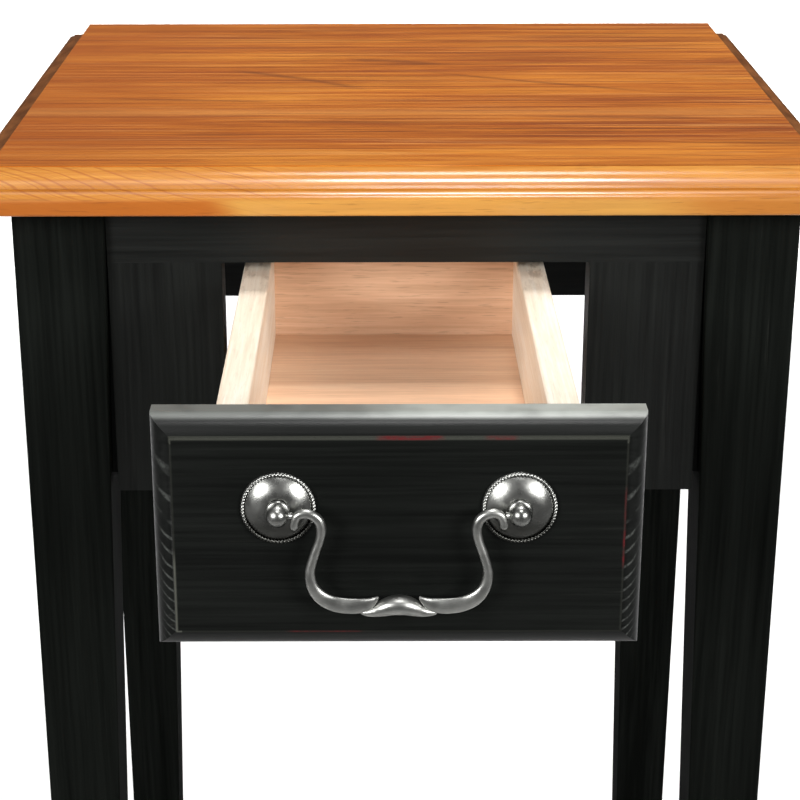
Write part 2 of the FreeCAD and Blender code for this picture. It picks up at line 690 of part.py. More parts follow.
def make_rosettes():
    for side_name, side in SIDES:
        def at(radius, reach):
            return Vector(side * HALF_PULL + radius, FRONT_FACE_Y - reach, PULL_Z)

        hole = STEM_R + BORE_EASE
        rim_inner = ROSETTE_R - 2 * ROPE_R
        rope_top = at(ROSETTE_R - ROPE_R, DOME_FOOT + ROPE_R)
        edges = [
            line(at(hole, 0), at(ROSETTE_R, 0)),
            line(at(ROSETTE_R, 0), at(ROSETTE_R, DOME_FOOT)),
            arc(at(ROSETTE_R, DOME_FOOT), rope_top, at(rim_inner, DOME_FOOT)),
            line(at(rim_inner, DOME_FOOT), at(DOME_R, DOME_FOOT)),
            arc(at(DOME_R, DOME_FOOT), at(DOME_SHOULDER_R, DOME_SHOULDER), at(hole, DOME_HEIGHT)),
            line(at(hole, DOME_HEIGHT), at(hole, 0)),
        ]
        save_in_drawer("%s_rosette" % side_name, turned(edges, side))


def make_posts():
    for side_name, side in SIDES:
        axis = Vector(side * HALF_PULL, FRONT_FACE_Y, PULL_Z)
        out = Y_AXIS * -1
        stem = rod(axis, out, STEM_R, BALL_REACH)
        collar = rod(axis + out * (DOME_HEIGHT + COLLAR_LIFT), out, COLLAR_R, COLLAR_THICK)
        ball = Part.makeSphere(BALL_R, pull_point(side, 0, 0))
        post = stem.fuse([collar, ball]).removeSplitter()
        thread = rod(axis - out, out, PULL_SCREW_R + BORE_EASE, PULL_THREAD + 1)
        bore = rod(pull_point(side, PIN_BORE_START, 0), X_AXIS * -side, PIN_BORE_R, BALL_R + 1)
        save_in_drawer("%s_pull_post" % side_name, post.cut([thread, bore]))


def rounded_route(points):
    """A wire of straight runs joined by tangent arcs as large as the runs allow."""
    pieces = []
    start = points[0]
    for before, corner, after in zip(points, points[1:], points[2:]):
        back = before - corner
        ahead = after - corner
        reach = ROUTE_ARC_SHARE * min(back.Length, ahead.Length)
        enter = corner + back.normalize() * reach
        leave = corner + ahead.normalize() * reach
        half_angle = back.getAngle(ahead) / 2
        radius = reach * math.tan(half_angle)
        bisector = (back + ahead).normalize()
        centre = corner + bisector * (reach / math.cos(half_angle))
        pieces.append(line(start, enter))
        pieces.append(arc(enter, centre - bisector * radius, leave))
        start = leave
    pieces.append(line(start, points[-1]))
    return Part.Wire(pieces)


def round_bar(points, radius):
    """A round bar along a rounded route, with ball ends."""
    route = rounded_route(points)
    section = Part.Wire(Part.makeCircle(radius, points[0], (points[1] - points[0]).normalize()))
    bar = route.makePipeShell([section], True, False)
    return [bar, Part.makeSphere(radius, points[0]), Part.makeSphere(radius, points[-1])]


def bail_leaf(side):
    """The flattened leaf at the bottom of each half of the bail."""
    def at(point):
        return pull_point(side, point[0], point[1], BALL_REACH + LEAF_THICK / 2)

    edges = [
        arc(at(LEAF_START), at(LEAF_UPPER), at(LEAF_TIP)),
        arc(at(LEAF_TIP), at(LEAF_LOWER), at(LEAF_START)),
    ]
    return extrude(edges, Y_AXIS * LEAF_THICK)


def bail_grip():
    """The swelling in the middle of the bail, turned about a level axis."""
    def at(x, radius):
        return Vector(x, PIVOT_Y, PULL_Z + GRIP_Z + radius)

    half = GRIP_LENGTH / 2
    edges = [
        line(at(-half, 0), at(-half, GRIP_END_R)),
        arc(at(-half, GRIP_END_R), at(0, GRIP_R), at(half, GRIP_END_R)),
        line(at(half, GRIP_END_R), at(half, 0)),
        line(at(half, 0), at(-half, 0)),
    ]
    return Part.Face(Part.Wire(edges)).revolve(at(0, 0), X_AXIS, 360)


def bail_half(side):
    """Everything on one side of the grip: curled end, pin, drop, leaf and the bar under it."""
    half = None
    pieces = round_bar([pull_point(side, *point) for point in BAIL_ROUTE], WIRE_R)
    pieces.append(bail_leaf(side))
    pieces += round_bar([pull_point(side, *point) for point in GRIP_ROUTE], WIRE_R)
    pin_length = BAIL_ROUTE[0][0] - PIN_START
    pieces.append(rod(pull_point(side, PIN_START, 0), X_AXIS * -side, PIN_R, pin_length))
    for piece in pieces:
        half = half.fuse(piece) if half else piece
    return half


def make_bail():
    bail = bail_grip()
    for _, side in SIDES:
        bail = bail.fuse(bail_half(side))
    save_in_drawer("bail", bail.Solids[0])


def make_pull_screws():
    length = BOX_BOARD + FRONT_THICK + PULL_THREAD - PULL_SCREW_SHORT
    screws = []
    for start, way in pull_screw_places():
        head = rod(start - way * PULL_SCREW_HEAD_THICK, way, PULL_SCREW_HEAD_R, PULL_SCREW_HEAD_THICK)
        shank = rod(start, way, PULL_SCREW_R, length)
        screws.append(head.fuse(shank).removeSplitter())
    save_in_drawer("pull_screws", *screws)


def make_all():
    make_top_boards()
    make_legs()
    make_foot_glides()
    make_side_aprons()
    make_rear_apron()
    make_front_frame()
    make_corner_blocks()
    make_frame_screws()
    make_runners()
    make_kickers()
    make_drawer_front()
    make_drawer_box()
    make_drawer_fasteners()
    make_drawer_stop()
    make_rosettes()
    make_posts()
    make_bail()
    make_pull_screws()


make_all()
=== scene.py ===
import json
import math
import bmesh
import bpy
from mathutils import Euler, Matrix, Vector


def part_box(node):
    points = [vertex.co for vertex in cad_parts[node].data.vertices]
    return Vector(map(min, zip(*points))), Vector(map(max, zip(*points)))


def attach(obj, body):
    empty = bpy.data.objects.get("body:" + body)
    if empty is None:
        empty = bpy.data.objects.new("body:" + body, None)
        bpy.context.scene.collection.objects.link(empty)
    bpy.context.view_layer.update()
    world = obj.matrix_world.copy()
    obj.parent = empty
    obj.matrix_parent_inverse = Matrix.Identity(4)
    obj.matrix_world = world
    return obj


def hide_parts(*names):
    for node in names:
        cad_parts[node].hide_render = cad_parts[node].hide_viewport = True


# Looks of the side table: the CAD frame keeps its shapes, and this script gives every node its
# finish, forges the bail, turns the rosettes and posts, and sets floor, lights and camera.
# Metres, same frame as the CAD: +Z up, drawer opening along -Y, origin on the floor.

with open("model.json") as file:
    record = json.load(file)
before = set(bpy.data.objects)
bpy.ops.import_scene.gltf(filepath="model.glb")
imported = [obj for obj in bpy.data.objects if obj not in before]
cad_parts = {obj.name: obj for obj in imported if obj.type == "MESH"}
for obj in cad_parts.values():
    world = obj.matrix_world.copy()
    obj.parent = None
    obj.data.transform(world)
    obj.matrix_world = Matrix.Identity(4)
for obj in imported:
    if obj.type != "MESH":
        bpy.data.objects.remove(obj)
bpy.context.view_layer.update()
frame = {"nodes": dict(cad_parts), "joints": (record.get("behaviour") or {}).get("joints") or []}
nodes = frame["nodes"]
joints = {joint["name"]: joint for joint in frame["joints"]}
MM = 0.001

# ---- camera ----
CAMERA_PLACE = (-12.1 * MM, -1102.0 * MM, 824.2 * MM)
CAMERA_PITCH = 22.94
CAMERA_ROLL = -0.11
LENS = 98.55
SENSOR = 36.0
SHIFT = (0.0264, 0.1838)

# ---- sizes read from the frame ----
TOP_LOW, TOP_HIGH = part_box("top_board_1")
TOP_HALF = TOP_HIGH.x
MOULDING_WIDTH = 15.0 * MM
FLAT_HALF = TOP_HALF - MOULDING_WIDTH
TOP_UNDERSIDE = TOP_LOW.z
FRONT_LOW, FRONT_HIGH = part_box("drawer_front")
FRONT_BORDER = 7.2 * MM
FRONT_MIDDLE = (FRONT_LOW + FRONT_HIGH) / 2
FACE_Y = FRONT_LOW.y
FACE_HALF_X = FRONT_HIGH.x - FRONT_MIDDLE.x - FRONT_BORDER
FACE_HALF_Z = FRONT_HIGH.z - FRONT_MIDDLE.z - FRONT_BORDER
PIVOT = Vector(joints["bail_swing"]["pos_m"])
ROSETTE_LOW, ROSETTE_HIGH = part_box("right_rosette")
HALF_PULL = (ROSETTE_LOW.x + ROSETTE_HIGH.x) / 2 - PIVOT.x
SIDES = (("left", -1), ("right", 1))


# ---- node trees ----

class Graph:
    """A material's node tree, with one short call for each kind of node used here."""

    def __init__(self, name):
        self.material = bpy.data.materials.new(name)
        self.material.use_nodes = True
        self.tree = self.material.node_tree
        self.tree.nodes.clear()
        self.shader = self.tree.nodes.new("ShaderNodeBsdfPrincipled")
        output = self.tree.nodes.new("ShaderNodeOutputMaterial")
        self.tree.links.new(self.shader.outputs[0], output.inputs[0])
        self.place = self.tree.nodes.new("ShaderNodeTexCoord").outputs["Object"]

    def put(self, socket, value):
        """Link value to a socket if it is another socket, or else set it."""
        if isinstance(value, bpy.types.NodeSocket):
            self.tree.links.new(value, socket)
        else:
            socket.default_value = value

    def math(self, operation, first, second=0.0):
        """One step of arithmetic on sockets or numbers."""
        node = self.tree.nodes.new("ShaderNodeMath")
        node.operation = operation
        self.put(node.inputs[0], first)
        self.put(node.inputs[1], second)
        return node.outputs[0]

    def split(self, vector):
        """The x, y and z of a vector."""
        node = self.tree.nodes.new("ShaderNodeSeparateXYZ")
        self.put(node.inputs[0], vector)
        return node.outputs[0], node.outputs[1], node.outputs[2]

    def join(self, x, y, z):
        """A vector made of x, y and z."""
        node = self.tree.nodes.new("ShaderNodeCombineXYZ")
        for socket, value in zip(node.inputs, (x, y, z)):
            self.put(socket, value)
        return node.outputs[0]

    def stretched(self, scale, offset=(0, 0, 0)):
        """The rest position, scaled along each axis and then moved by offset."""
        node = self.tree.nodes.new("ShaderNodeMapping")
        self.put(node.inputs["Vector"], self.place)
        node.inputs["Scale"].default_value = scale
        node.inputs["Location"].default_value = offset
        return node.outputs[0]

    def noise(self, vector, detail=3.0, roughness=0.5):
        """Fractal noise at a vector, about 0 to 1."""
        node = self.tree.nodes.new("ShaderNodeTexNoise")
        self.put(node.inputs["Vector"], vector)
        node.inputs["Scale"].default_value = 1.0
        node.inputs["Detail"].default_value = detail
        node.inputs["Roughness"].default_value = roughness
        return node.outputs[0]

    def span(self, value, low, high, to_low=0.0, to_high=1.0):
        """Map low..high smoothly to to_low..to_high, held at both ends."""
        node = self.tree.nodes.new("ShaderNodeMapRange")
        node.interpolation_type = "SMOOTHSTEP"
        self.put(node.inputs[0], value)
        for socket, number in zip(node.inputs[1:5], (low, high, to_low, to_high)):
            socket.default_value = number
        return node.outputs[0]

    def ramp(self, value, *stops):
        """Colour along value, from pairs of position and colour."""
        node = self.tree.nodes.new("ShaderNodeValToRGB")
        self.put(node.inputs[0], value)
        elements = node.color_ramp.elements
        while len(elements) < len(stops):
            elements.new(0.5)
        for element, (position, colour) in zip(elements, stops):
            element.position = position
            element.color = (*colour, 1.0)
        return node.outputs[0]

    def mix(self, factor, first, second):
        """Colour first, blended towards second by factor."""
        node = self.tree.nodes.new("ShaderNodeMix")
        node.data_type = "RGBA"
        node.clamp_factor = True
        self.put(node.inputs[0], factor)
        for socket, colour in ((node.inputs[6], first), (node.inputs[7], second)):
            self.put(socket, (*colour, 1.0) if isinstance(colour, tuple) else colour)
        return node.outputs[2]

    def bump(self, height, distance, strength, normal=None):
        """A surface normal raised by height, on top of another bump if one is given."""
        node = self.tree.nodes.new("ShaderNodeBump")
        node.inputs["Strength"].default_value = strength
        node.inputs["Distance"].default_value = distance
        self.put(node.inputs["Height"], height)
        if normal:
            self.put(node.inputs["Normal"], normal)
        return node.outputs[0]

    def set(self, **values):
        """Set or link inputs of the principled shader, with _ for a space in their names."""
        for name, value in values.items():
            socket = self.shader.inputs[name.replace("_", " ")]
            if isinstance(value, tuple):
                value = (*value, 1.0)
            self.put(socket, value)
        return self.material


ALONG_X = 0
ALONG_Y = 1
ALONG_Z = 2
DRIFT_ALONG = 3.5
DRIFT_ACROSS = 9.0


def grain(g, axis, along, across, seed, wander=0.006, detail=3.0, roughness=0.55):
    """Noise drawn out along one axis, whose lines wander sideways by about wander metres."""
    drift_scale = [DRIFT_ACROSS, DRIFT_ACROSS, DRIFT_ACROSS]
    drift_scale[axis] = DRIFT_ALONG
    drift = g.noise(g.stretched(drift_scale, (seed, seed * 0.7, 0)), 1.0)
    drift = g.math("MULTIPLY", g.math("SUBTRACT", drift, 0.5), wander * 2)
    parts = list(g.split(g.place))
    for index in range(3):
        if index == axis:
            parts[index] = g.math("MULTIPLY", parts[index], along)
        else:
            parts[index] = g.math("MULTIPLY", g.math("ADD", parts[index], drift), across)
    parts[axis] = g.math("ADD", parts[axis], seed * 3.1)
    parts[(axis + 1) % 3] = g.math("ADD", parts[(axis + 1) % 3], seed * 1.7)
    return g.noise(g.join(*parts), detail, roughness)


# ---- the top's woods ----

RUSSET = ((0.285, 0.060, 0.005), (0.470, 0.128, 0.009), (0.650, 0.228, 0.024))
HONEY = ((0.330, 0.102, 0.010), (0.450, 0.168, 0.020), (0.570, 0.260, 0.048))
STRAW = (0.730, 0.430, 0.112)
END_GRAIN = ((0.105, 0.036, 0.010), (0.230, 0.086, 0.026))
STREAK_BROWN = (0.130, 0.034, 0.008)
PALE_STRAND = (0.680, 0.290, 0.075)
PORE_BROWN = (0.12, 0.035, 0.010)
GLUE_BROWN = (0.25, 0.06, 0.012)
FIGURE_BROWN = (0.290, 0.075, 0.010)
EMBER = (0.400, 0.092, 0.007)

# Dark mineral streaks in the top: start and end on the top (m), sideways bow, half width
STREAKS = (
    ((-0.092, 0.039), (-0.015, -0.016), 0.004, 0.0058),
    ((0.008, 0.034), (0.130, -0.023), -0.002, 0.0034),
    ((0.052, -0.078), (0.150, -0.084), 0.001, 0.0044),
    ((-0.030, 0.066), (0.024, 0.052), 0.002, 0.0060),
    ((0.030, 0.104), (0.175, 0.094), 0.002, 0.0036),
    ((0.060, 0.134), (0.178, 0.128), 0.001, 0.0030),
    ((-0.150, -0.036), (-0.060, -0.044), 0.001, 0.0024),
)

# Straight lines of the grain, right across the top: place along Y (m), half width, strength, colour
GRAIN_LINES = (
    (-0.0685, 0.0095, 0.32, PALE_STRAND), (-0.0412, 0.0007, 0.55, STREAK_BROWN),
    (-0.0468, 0.0008, 0.50, STREAK_BROWN), (-0.1268, 0.0009, 0.50, PALE_STRAND),
    (0.0560, 0.0010, 0.30, STREAK_BROWN), (0.1240, 0.0012, 0.35, STREAK_BROWN),
)
BOARD_TONES = (-0.004, -0.028, 0.004, 0.006, -0.002)

# Places where a colour begins and is full, along X or Z (m), and the half width of a glue line
FACE_EMBER = (-0.05, -0.17)
FIGURE_START = (-0.035, -0.075)
EMBER_LEFT = (-0.060, -0.075)
EMBER_RIGHT = (0.120, 0.165)
LOW_FACE = (TOP_UNDERSIDE + 8.5 * MM, TOP_UNDERSIDE + 6.0 * MM)
GLUE_LINE = (1.1 * MM, 0.2 * MM)


def grain_line_mask(g, y, place, half_width):
    """A line along the grain at one place, with a slight wander and ragged edges."""
    wander = g.noise(g.stretched((6, 0, 0), (place * 90, 0, 0)), 2.0)
    off = g.math("SUBTRACT", y, g.math("ADD", g.math("MULTIPLY", wander, 0.004), place - 0.002))
    ragged = g.math("MULTIPLY", g.noise(g.stretched((22, 300, 0)), 3.0), half_width)
    return g.span(g.math("ADD", g.math("ABSOLUTE", off), ragged), half_width * 1.9, half_width * 0.6)


def streak_mask(g, start, end, bow, half_width):
    """A soft dark line between two places on the top, bowed sideways and fading at both ends."""
    x, y, _ = g.split(g.place)
    length = end[0] - start[0]
    along = g.math("DIVIDE", g.math("SUBTRACT", x, start[0]), length)
    arch = g.math("MULTIPLY", g.math("MULTIPLY", along, g.math("SUBTRACT", 1.0, along)), 4 * bow)
    centre = g.math("ADD", g.math("MULTIPLY", along, end[1] - start[1]), start[1])
    off = g.math("ABSOLUTE", g.math("SUBTRACT", y, g.math("ADD", centre, arch)))
    ragged = g.math("MULTIPLY", g.noise(g.stretched((30, 260, 0)), 3.0), 1.1 * half_width)
    line = g.span(g.math("ADD", off, ragged), half_width * 1.8, half_width * 0.3)
    middle = g.math("ABSOLUTE", g.math("SUBTRACT", along, 0.5))
    return g.math("MULTIPLY", line, g.span(middle, 0.52, 0.25))


def board_face(g, level, seed, low, high):
    """Colour of one board's flat: russet, with its lines, streaks and glued edges."""
    x, y, _ = g.split(g.place)
    colour = g.ramp(level, (0.42, RUSSET[0]), (0.50, RUSSET[1]), (0.59, RUSSET[2]))
    lines = grain(g, ALONG_X, 4.5, 340.0, seed + 9, 0.005, 3.0, 0.6)
    colour = g.mix(g.span(lines, 0.57, 0.63, 0.0, 0.50), colour, STREAK_BROWN)
    colour = g.mix(g.span(lines, 0.42, 0.37, 0.0, 0.50), colour, PALE_STRAND)
    colour = g.mix(g.span(x, *FACE_EMBER, 0.0, 0.50), colour, EMBER)
    for place, half_width, strength, tint in GRAIN_LINES:
        if low - half_width < place < high + half_width:
            line = grain_line_mask(g, y, place, half_width)
            colour = g.mix(g.math("MULTIPLY", line, strength), colour, tint)
    for streak in STREAKS:
        start_y, end_y = streak[0][1], streak[1][1]
        if low < max(start_y, end_y) and min(start_y, end_y) < high:
            mask = streak_mask(g, *streak)
            colour = g.mix(g.math("MULTIPLY", mask, 0.60), colour, STREAK_BROWN)
    joint = g.math("MINIMUM", g.math("SUBTRACT", y, low), g.math("SUBTRACT", high, y))
    return g.mix(g.span(joint, *GLUE_LINE, 0.0, 0.35), colour, GLUE_BROWN)


def lacquered_board(number, low, high, tone):
    """One russet board of the top: grain along X, honey moulding front and back, dark end grain."""
    g = Graph("top_board_%d_lacquer" % number)
    seed = 2.0 + number * 5.3
    x, y, _ = g.split(g.place)
    bands = grain(g, ALONG_X, 2.2, 40.0, seed, 0.010, 3.0, 0.6)
    strands = grain(g, ALONG_X, 7.0, 190.0, seed + 2, 0.006, 5.0, 0.70)
    fine = grain(g, ALONG_X, 18.0, 520.0, seed + 4, 0.004, 4.0, 0.65)
    pores = grain(g, ALONG_X, 70.0, 1500.0, seed + 6, 0.003, 2.0, 0.5)
    level = g.math("ADD", g.math("MULTIPLY", bands, 0.36), g.math("MULTIPLY", strands, 0.36))
    level = g.math("ADD", g.math("ADD", level, g.math("MULTIPLY", fine, 0.28)), tone)
    flat = board_face(g, level, seed, low, high)
    on_front = g.math("GREATER_THAN", g.math("ABSOLUTE", y), FLAT_HALF)
    colour = g.mix(on_front, flat, moulding_colour(g, level, seed))
    end = g.noise(g.stretched((90, 40, 260)), 4.0, 0.6)
    end = g.ramp(end, (0.35, END_GRAIN[0]), (0.65, END_GRAIN[1]))
    far_x = g.math("ABSOLUTE", x)
    on_side = g.math("MULTIPLY", g.math("GREATER_THAN", far_x, FLAT_HALF),
                     g.math("GREATER_THAN", far_x, g.math("ABSOLUTE", y)))
    colour = g.mix(on_side, colour, end)
    colour = g.mix(g.span(pores, 0.60, 0.70, 0.0, 0.30), colour, PORE_BROWN)
    cloud = g.noise(g.stretched((14, 40, 40)), 4.0)
    rough = g.math("ADD", g.span(cloud, 0.3, 0.7, 0.27, 0.38), g.math("MULTIPLY", fine, 0.05))
    wave = g.noise(g.stretched((6, 22, 60)), 2.0)
    normal = g.bump(g.math("ADD", strands, g.math("MULTIPLY", pores, 0.7)), 0.00012, 0.55)
    normal = g.bump(wave, 0.0006, 0.30, normal)
    gloss = g.math("ADD", g.math("MULTIPLY", on_front, 0.45), 0.45)
    gloss = g.math("SUBTRACT", gloss, g.math("MULTIPLY", on_side, 0.41))
    specular = g.math("SUBTRACT", 0.22, g.math("MULTIPLY", on_side, 0.16))
    return g.set(Base_Color=colour, Roughness=rough, Normal=normal, Specular_IOR_Level=specular,
                 Coat_Weight=gloss, Coat_Roughness=0.17, Coat_IOR=1.45)


def moulding_colour(g, level, seed):
    """Honey colour of the long-grain mouldings, with slanting figure and ember-red ends."""
    x, _, z = g.split(g.place)
    pale = g.ramp(level, (0.41, HONEY[0]), (0.51, HONEY[1]), (0.62, HONEY[2]))
    wander = g.noise(g.stretched((14, 0, 60), (seed, 0, 0)), 2.0)
    slant = g.math("ADD", g.math("MULTIPLY", x, 260.0), g.math("MULTIPLY", z, 1050.0))
    slant = g.math("ADD", slant, g.math("MULTIPLY", wander, 4.0))
    figure = g.noise(g.join(slant, 0.0, 0.0), 2.0, 0.6)
    figure = g.math("MULTIPLY", g.span(figure, 0.50, 0.60), g.span(x, *FIGURE_START, 0.0, 0.62))
    pale = g.mix(figure, pale, FIGURE_BROWN)
    low_face = g.span(z, *LOW_FACE)
    pale = g.mix(g.math("MULTIPLY", low_face, 0.45), pale, STRAW)
    left_end = g.span(g.math("ADD", x, g.math("MULTIPLY", wander, 0.03)), *EMBER_LEFT)
    right_end = g.span(g.math("ADD", x, g.math("MULTIPLY", wander, 0.06)), *EMBER_RIGHT, 0.0, 0.7)
    ends = g.math("MULTIPLY", g.math("MAXIMUM", left_end, right_end), low_face)
    return g.mix(g.math("MULTIPLY", ends, 0.85), pale, EMBER)


# ---- paint ----

PAINT = (0.0034, 0.0039, 0.0034)
PAINT_WORN = (0.042, 0.042, 0.037)
# Pale grey of the painted highlight along the drawer front's upper edge
PAINTED_SHEEN = (0.420, 0.440, 0.405)
STROKE_GREY = (0.078, 0.083, 0.077)
ARRIS_PALE = (0.105, 0.108, 0.090)
RUB_THROUGH = (0.130, 0.008, 0.012)

# Widths and places on the drawer front: the worn line on the face's edge, the burnished border,
# the pale line at the lower left, the ends of a rub, and the middle and reach of the painted sheen on
# the upper edge
ARRIS_OUT = 0.1 * MM
ARRIS_WIDTH = (0.8 * MM, 0.1 * MM)
EDGE_BAND = 2.0 * MM
BURNISH_START = 1.0 * MM
PALE_LEFT = (-2.0 * MM, -12.0 * MM)
RUB_FADE = 2.0 * MM
SHEEN_MIDDLE = 42.0 * MM
SHEEN_REACH = (100.0 * MM, 10.0 * MM)

# Pale nicks across the ends of the drawer front: how many, how fast they crowd downwards, how
# far they curl and wander, and the heights where they are rarest and commonest
STROKES_PER_METRE = 165.0
STROKE_CROWDING = 1700.0
STROKE_CURL = 8.0 * MM
STROKE_WANDER = 6.0 * MM
STROKE_HEIGHTS = (45.0 * MM, -20.0 * MM)

# Where the paint is rubbed through along the face's edges: the edge, start and end from the
# front's middle (m), and how far through
RUBS = (
    ("top", -0.007, 0.015, 0.80), ("top", 0.031, 0.041, 0.50), ("bottom", -0.040, -0.014, 0.40),
    ("right", 0.003, 0.018, 0.30), ("right", -0.004, 0.002, 0.70), ("right", -0.011, -0.006, 0.85),
)


def painted(g, axis, seed, low_rough=0.34, lift=1.0):
    """Black paint over open grain: colour, roughness and normal, grain running along axis."""
    lines = grain(g, axis, 10.0, 480.0, seed, 0.004, 3.0, 0.6)
    broad = grain(g, axis, 2.0, 38.0, seed + 3, 0.008, 3.0, 0.55)
    cloud = g.noise(g.stretched((11, 11, 11), (seed, 0, 0)), 3.0)
    light = g.math("ADD", g.math("MULTIPLY", lines, 0.5), g.math("MULTIPLY", broad, 0.5))
    darkest = tuple(lift * part for part in PAINT)
    colour = g.ramp(light, (0.40, darkest), (0.70, tuple(2.8 * part for part in darkest)))
    scuff = grain(g, axis, 7.0, 240.0, seed + 9, 0.003, 4.0, 0.7)
    scuffed = g.math("MULTIPLY", g.span(scuff, 0.62, 0.74), g.span(cloud, 0.45, 0.7, 0.0, 0.45))
    colour = g.mix(scuffed, colour, PAINT_WORN)
    rough = g.math("ADD", g.math("MULTIPLY", cloud, 0.6), g.math("MULTIPLY", lines, 0.4))
    rough = g.span(rough, 0.3, 0.7, low_rough, low_rough + 0.16)
    normal = g.bump(lines, 0.00018, 0.8)
    return colour, rough, normal


def black_paint(name, axis, seed, gloss=0.24, low_rough=0.36, lift=1.0):
    """Black paint of the frame, grain along axis; lift makes it paler."""
    g = Graph(name)
    colour, rough, normal = painted(g, axis, seed, low_rough, lift)
    return g.set(Base_Color=colour, Roughness=rough, Normal=normal, Specular_IOR_Level=gloss)


def drawer_front_paint():
    """The drawer front's paint: rubbed to a wine undercoat at the border, end grain at both ends."""
    g = Graph("drawer_front_paint")
    colour, rough, normal = painted(g, ALONG_X, 31.0, 0.30)
    x, _, z = g.split(g.place)
    across = g.math("SUBTRACT", x, FRONT_MIDDLE.x)
    above = g.math("SUBTRACT", z, FRONT_MIDDLE.z)
    from_x = g.math("SUBTRACT", g.math("ABSOLUTE", across), FACE_HALF_X)
    from_z = g.math("SUBTRACT", g.math("ABSOLUTE", above), FACE_HALF_Z)
    on_end = g.math("GREATER_THAN", from_x, g.math("MAXIMUM", from_z, 0.0))
    # Painted highlight: a pale band along the upper edge stands in for the lamp's sheen
    colour = g.mix(painted_top_sheen(g, across, above, on_end), colour, PAINTED_SHEEN)
    colour = g.mix(g.math("MULTIPLY", end_strokes(g, from_x, above), on_end), colour, STROKE_GREY)
    edge = g.math("MAXIMUM", from_x, from_z)
    arris = g.span(g.math("ABSOLUTE", g.math("ADD", edge, ARRIS_OUT)), *ARRIS_WIDTH)
    on_left = g.math("LESS_THAN", across, EDGE_BAND - FACE_HALF_X)
    left_low = g.math("MULTIPLY", on_left, g.span(above, *PALE_LEFT))
    top_line = g.math("MULTIPLY", g.math("GREATER_THAN", above, FACE_HALF_Z - EDGE_BAND), 0.55)
    pale = g.math("MULTIPLY", g.math("MAXIMUM", left_low, g.math("MAXIMUM", top_line, 0.15)), 0.75)
    colour = g.mix(g.math("MULTIPLY", arris, pale), colour, ARRIS_PALE)
    colour = g.mix(g.math("MULTIPLY", arris, rubbed_through(g, across, above)), colour, RUB_THROUGH)
    less_on_ends = g.math("SUBTRACT", 1.0, g.math("MULTIPLY", on_end, 0.6))
    burnished = g.math("MULTIPLY", g.span(edge, 0.0, BURNISH_START, 0.0, 0.50), less_on_ends)
    return g.set(Base_Color=colour, Roughness=rough, Normal=normal, Specular_IOR_Level=0.14,
                 Coat_Weight=burnished, Coat_Roughness=0.36, Coat_IOR=1.5)


def painted_top_sheen(g, across, above, on_end):
    """Painted sheen: the paint drawn pale along the upper edge, brightest a little right of the middle.
    """
    depth = g.span(above, FACE_HALF_Z + FRONT_BORDER * 0.70, FACE_HALF_Z + FRONT_BORDER)
    along = g.math("ABSOLUTE", g.math("SUBTRACT", across, SHEEN_MIDDLE))
    along = g.span(along, *SHEEN_REACH, 0.35, 1.0)
    cloud = g.span(g.noise(g.stretched((45, 45, 200)), 3.0), 0.30, 0.65, 0.6, 1.0)
    less_on_ends = g.math("SUBTRACT", 1.0, g.math("MULTIPLY", on_end, 0.7))
    return g.math("MULTIPLY", g.math("MULTIPLY", depth, along), g.math("MULTIPLY", cloud, less_on_ends))


def rubbed_through(g, across, above):
    """How far the paint is rubbed away, on short stretches of the face's edges."""
    total = 0.0
    for edge, start, end, strength in RUBS:
        along, off, half = (across, above, FACE_HALF_Z)
        if edge == "right":
            along, off, half = (above, across, FACE_HALF_X)
        way = -1.0 if edge == "bottom" else 1.0
        here = g.math("GREATER_THAN", g.math("MULTIPLY", off, way), half - EDGE_BAND)
        begun = g.span(along, start - RUB_FADE, start + RUB_FADE)
        stretch = g.math("MULTIPLY", begun, g.span(along, end + RUB_FADE, end - RUB_FADE))
        total = g.math("MAXIMUM", total, g.math("MULTIPLY", g.math("MULTIPLY", here, stretch), strength))
    ragged = g.span(g.noise(g.stretched((330, 330, 330)), 3.0), 0.32, 0.60, 0.35, 1.0)
    return g.math("MULTIPLY", total, ragged)


def end_strokes(g, from_x, above):
    """Curved pale nicks across the end-grain mouldings, closer together lower down."""
    depth = g.math("DIVIDE", from_x, FRONT_BORDER)
    bend = g.math("ADD", g.math("MULTIPLY", depth, 0.6), 0.4)
    curl = g.math("MULTIPLY", g.math("MULTIPLY", depth, bend), STROKE_CURL)
    wander = g.math("MULTIPLY", g.noise(g.stretched((0, 0, 90)), 2.0), STROKE_WANDER)
    height = g.math("ADD", g.math("SUBTRACT", above, curl), wander)
    crowd = g.math("MULTIPLY", g.math("MULTIPLY", height, height), STROKE_CROWDING)
    turns = g.math("SUBTRACT", g.math("MULTIPLY", height, STROKES_PER_METRE), crowd)
    wave = g.math("SINE", g.math("MULTIPLY", turns, 2 * math.pi))
    thick = g.math("MULTIPLY", depth, 0.35)
    stroke = g.span(g.math("SUBTRACT", wave, thick), 0.45, 0.95)
    chance = g.noise(g.stretched((0, 0, 150), (0, 0, 4.0)), 1.0)
    lower = g.span(above, *STROKE_HEIGHTS, 0.30, 0.95)
    present = g.span(g.math("ADD", chance, g.math("MULTIPLY", lower, 0.25)), 0.52, 0.66)
    fade = g.math("MULTIPLY", g.span(depth, 1.0, 0.35), g.span(depth, -0.02, 0.12))
    ragged = g.span(g.noise(g.stretched((900, 900, 900)), 3.0), 0.35, 0.6, 0.4, 1.0)
    return g.math("MULTIPLY", g.math("MULTIPLY", stroke, present), g.math("MULTIPLY", fade, ragged))


# ---- drawer woods ----

PINK_WOOD = ((0.600, 0.365, 0.225), (0.730, 0.465, 0.300), (0.830, 0.570, 0.395))
PINK_LIGHT_WOOD = ((0.700, 0.435, 0.275), (0.840, 0.545, 0.355), (0.900, 0.650, 0.455))
CREAM_WOOD = ((0.780, 0.640, 0.490), (0.870, 0.755, 0.610), (0.930, 0.870, 0.780))
PLAIN_WOOD = ((0.36, 0.230, 0.120), (0.52, 0.370, 0.215), (0.64, 0.490, 0.310))
